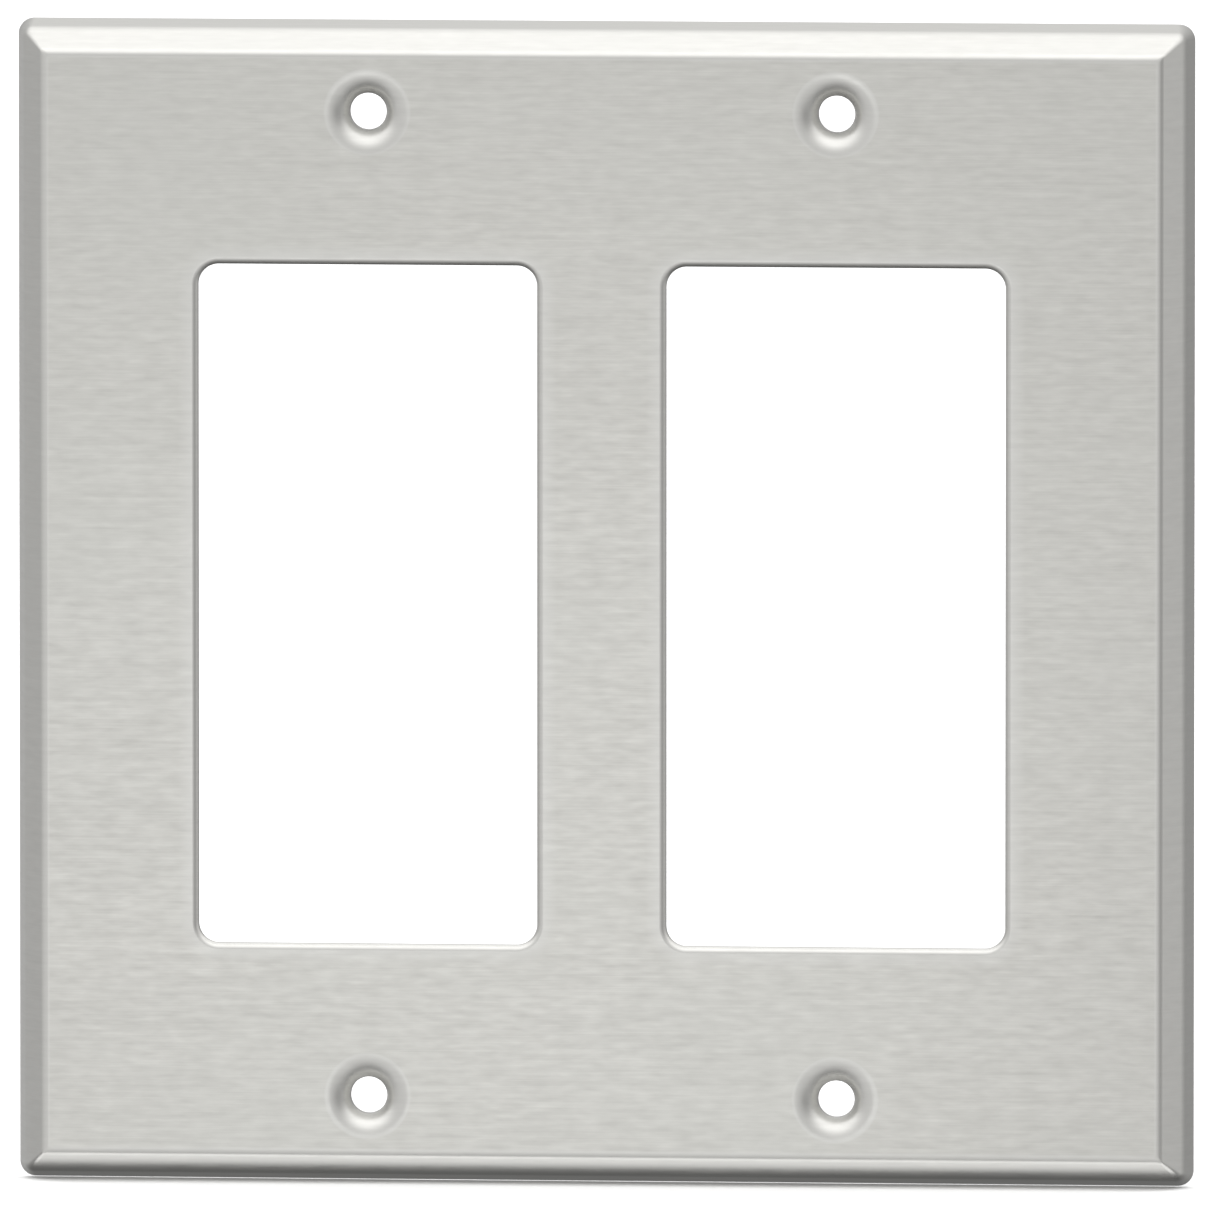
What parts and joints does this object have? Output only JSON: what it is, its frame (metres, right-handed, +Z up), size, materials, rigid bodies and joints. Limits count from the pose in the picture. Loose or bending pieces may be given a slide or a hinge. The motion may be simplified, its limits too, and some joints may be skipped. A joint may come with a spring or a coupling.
{
  "type": "wall plate",
  "caption": "Square stamped wall plate in brushed stainless steel, with bevelled edges, side-by-side decorator device openings and countersunk screw dimples above and below each.",
  "frame": {"origin": "centre of the plate in the wall plane, which is the plane of the back rim and is midway between the four screw holes", "axes": "+X to the right seen from the room, +Y into the wall, so the face looks along -Y, +Z up"},
  "size_m": [0.1158, 0.0056, 0.1142],
  "materials": {
    "brushed_stainless": "fine horizontal brushed satin on the front and the bevels, plain mill finish inside"
  },
  "bodies": {
    "root": {"wall_plate": "brushed_stainless"}
  },
  "joints": []
}
